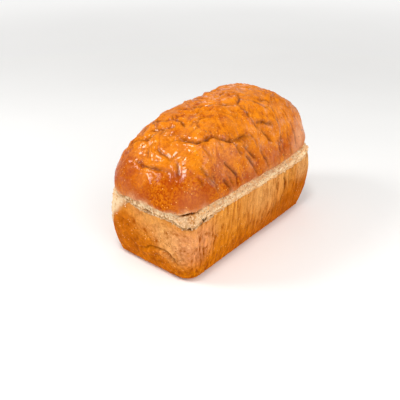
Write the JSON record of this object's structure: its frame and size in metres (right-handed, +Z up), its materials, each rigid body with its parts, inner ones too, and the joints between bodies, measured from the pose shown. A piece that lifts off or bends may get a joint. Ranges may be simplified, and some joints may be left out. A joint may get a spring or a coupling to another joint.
{
  "type": "tin_loaf",
  "caption": "Whole tin loaf with a domed glossy brown crown over a pale torn band and straight tan tin-baked sides.",
  "frame": {"origin": "centre of the loaf's bounding box in plan, on the flat base", "axes": "+X along the loaf towards its far end, -Y out of the long side that shows best, +Z up through the crown"},
  "size_m": [0.2474, 0.1228, 0.1556],
  "materials": {
    "crust": "browned bread crust, faintly glazed on the crown"
  },
  "bodies": {
    "root": {"loaf": "crust"}
  },
  "joints": []
}
